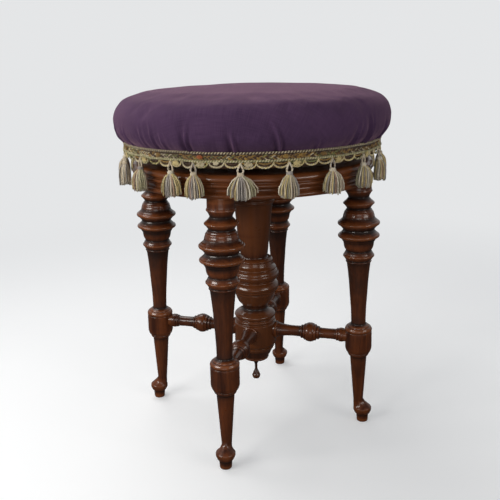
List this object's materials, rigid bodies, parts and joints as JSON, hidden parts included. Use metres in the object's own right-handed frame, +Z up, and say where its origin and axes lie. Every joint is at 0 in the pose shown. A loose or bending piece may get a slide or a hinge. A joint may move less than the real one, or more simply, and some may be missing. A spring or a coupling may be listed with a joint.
{
  "type": "revolving piano stool",
  "caption": "Round upholstered revolving stool on turned legs; the tasselled seat winds up and down on an iron screw in a turned centre column.",
  "frame": {"origin": "on the floor, under the centre of the screw", "axes": "+Z up along the screw; -Y towards the front leg, +X towards the right leg"},
  "size_m": [0.3802, 0.3802, 0.499],
  "materials": {
    "polished_wood": "satin reddish brown polish",
    "plain_wood": "unpolished",
    "iron": "oiled dark iron",
    "wood_screws": "dull",
    "tacks": "blued",
    "cover_cloth": "plain purple weave",
    "stuffing": "hair and linen",
    "braid": "woven gold and olive",
    "tassel_thread": "mixed beige and green threads"
  },
  "bodies": {
    "base": {"top_board": "polished_wood", "leg_front": "polished_wood", "leg_right": "polished_wood", "leg_back": "polished_wood", "leg_left": "polished_wood", "stretcher_front": "polished_wood", "stretcher_right": "polished_wood", "stretcher_back": "polished_wood", "stretcher_left": "polished_wood", "centre_column": "polished_wood", "drop_finial": "polished_wood", "screw_nut": "iron", "nut_screws": "wood_screws"},
    "stop": {"stop_washer": "iron"},
    "seat": {"seat_spindle": "iron", "stop_nut": "iron", "seat_plate": "iron", "seat_plate_screws": "wood_screws", "seat_board": "plain_wood", "stuffing_pad": "stuffing", "seat_cover": "cover_cloth", "cover_tacks": "tacks", "gimp_braid": "braid", "tassel_01": "tassel_thread", "tassel_02": "tassel_thread", "tassel_03": "tassel_thread", "tassel_04": "tassel_thread", "tassel_05": "tassel_thread", "tassel_06": "tassel_thread", "tassel_07": "tassel_thread", "tassel_08": "tassel_thread", "tassel_09": "tassel_thread", "tassel_10": "tassel_thread", "tassel_11": "tassel_thread", "tassel_12": "tassel_thread", "tassel_13": "tassel_thread", "tassel_14": "tassel_thread", "tassel_15": "tassel_thread", "tassel_16": "tassel_thread", "tassel_17": "tassel_thread", "tassel_18": "tassel_thread", "tassel_19": "tassel_thread", "tassel_20": "tassel_thread"}
  },
  "joints": [
    {"name": "seat_lift", "type": "slide", "parent": "base", "child": "stop", "axis": [0, 0, 1], "range_m": [-0.00862, 0.04142]},
    {"name": "seat_spin", "type": "hinge", "parent": "stop", "child": "seat", "pos_m": [0, 0, 0.4065], "axis": [0, 0, 1], "range_deg": [-516, 2484]}
  ],
  "couplings": [
    {"joint": "seat_lift", "follows": "seat_spin", "m_per_rad": 0.00095493}
  ]
}
